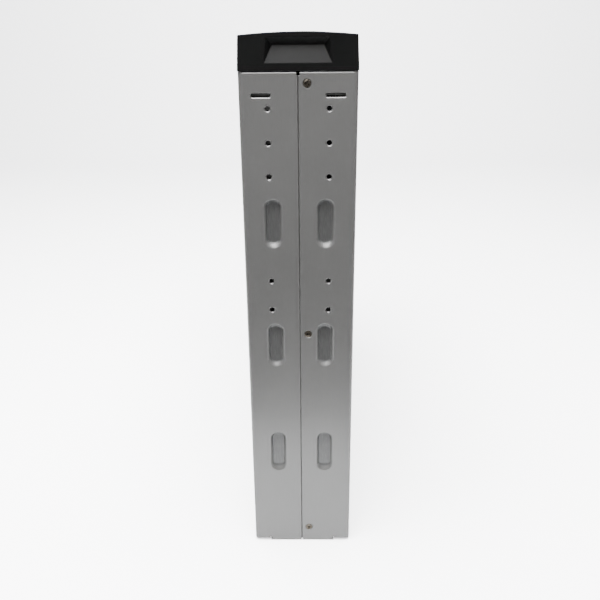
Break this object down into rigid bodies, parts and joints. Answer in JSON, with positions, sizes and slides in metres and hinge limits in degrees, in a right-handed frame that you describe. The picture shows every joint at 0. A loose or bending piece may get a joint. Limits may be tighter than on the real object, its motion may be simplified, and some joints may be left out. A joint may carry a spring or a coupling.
{
  "type": "rack battery pack",
  "caption": "Flat steel rack-mount battery pack with a slide-out drawer of sealed blocks, a recessed rear panel and a bowed black plastic bezel, stood on its rear end.",
  "frame": {"origin": "middle of the rear rim's bounding box, on the surface that the pack stands on", "axes": "+Z from the rear rim to the front bezel, +X from the base sheet to the cover sheet, which is up once it lies in a rack, +Y to the left wall"},
  "size_m": [0.0876, 0.433, 0.4442],
  "materials": {
    "zinc_steel": "satin zinc-coated sheet",
    "screw_steel": "passivated zinc plate",
    "black_plastic": "fine moulded texture",
    "smoked_window": "polished",
    "battery_case": "matt moulded plastic over lead plates",
    "white_nylon": "natural",
    "tinned_copper": "bright",
    "red_insulation": "satin",
    "black_insulation": "satin",
    "green_board": "lacquered",
    "fuse_body": "moulded"
  },
  "bodies": {
    "case": {"base_chassis": "zinc_steel", "top_cover": "zinc_steel", "cover_screw_right_front": "screw_steel", "cover_screw_right_middle": "screw_steel", "cover_screw_right_rear": "screw_steel", "cover_screw_left_front": "screw_steel", "cover_screw_left_middle": "screw_steel", "cover_screw_left_rear": "screw_steel", "rear_panel": "zinc_steel", "bulkhead": "zinc_steel", "bay_connector": "black_plastic", "breaker_body": "black_plastic", "power_socket_upper": "black_plastic", "power_socket_lower": "black_plastic", "signal_jack": "black_plastic", "earth_stud": "screw_steel", "earth_nut": "screw_steel", "monitor_board": "green_board", "bus_bar_negative": "tinned_copper", "bus_bar_positive": "tinned_copper", "bay_lead_positive": "red_insulation", "bay_lead_switched": "red_insulation", "bay_lead_negative": "black_insulation", "drawer_runner_right": "white_nylon", "drawer_runner_left": "white_nylon", "lock_bracket_right": "zinc_steel", "lock_bracket_left": "zinc_steel"},
    "toggle": {"breaker_toggle": "black_plastic"},
    "drawer": {"drawer_tray": "zinc_steel", "drawer_front": "zinc_steel", "battery_block_1": "battery_case", "battery_block_2": "battery_case", "battery_block_3": "battery_case", "battery_block_4": "battery_case", "battery_block_5": "battery_case", "battery_block_6": "battery_case", "battery_block_7": "battery_case", "battery_block_8": "battery_case", "block_link_right_outer": "tinned_copper", "block_link_right_inner": "tinned_copper", "block_link_left_outer": "tinned_copper", "block_link_left_inner": "tinned_copper", "string_fuse_right": "fuse_body", "string_fuse_left": "fuse_body", "hold_down_strap": "zinc_steel", "drawer_connector": "black_plastic", "string_lead_right_negative": "black_insulation", "string_lead_right_positive": "red_insulation", "string_lead_left_negative": "black_insulation", "string_lead_left_positive": "red_insulation", "status_board": "green_board", "bezel_stud_right": "screw_steel", "bezel_stud_left": "screw_steel"},
    "right_screw": {"drawer_screw_right": "screw_steel"},
    "left_screw": {"drawer_screw_left": "screw_steel"},
    "handle": {"drawer_handle": "screw_steel", "handle_grip": "black_plastic"},
    "bezel": {"bezel_shell": "black_plastic", "status_window": "smoked_window"},
    "button": {"test_button": "black_plastic"}
  },
  "joints": [
    {"name": "drawer_slide", "type": "slide", "parent": "case", "child": "drawer", "axis": [0, 0, 1], "range_m": [0, 0.3]},
    {"name": "bezel_pull", "type": "slide", "parent": "drawer", "child": "bezel", "axis": [0, 0, 1], "range_m": [0, 0.05]},
    {"name": "handle_fold", "type": "hinge", "parent": "drawer", "child": "handle", "pos_m": [-0.006, 0, 0.407], "axis": [0, 1, 0], "range_deg": [0, 90]},
    {"name": "right_screw_turn", "type": "hinge", "parent": "drawer", "child": "right_screw", "pos_m": [0.0355, -0.2, 0.4], "axis": [0, 0, 1], "continuous": true},
    {"name": "left_screw_turn", "type": "hinge", "parent": "drawer", "child": "left_screw", "pos_m": [0.0355, 0.2, 0.4], "axis": [0, 0, 1], "continuous": true},
    {"name": "button_press", "type": "slide", "parent": "bezel", "child": "button", "axis": [0, 0, -1], "range_m": [0, 0.0015], "stiffness_N_per_m": 400, "springref_m": -0.001},
    {"name": "toggle_throw", "type": "hinge", "parent": "case", "child": "toggle", "pos_m": [0, -0.08, 0.026], "axis": [0, 1, 0], "range_deg": [0, 44]}
  ]
}
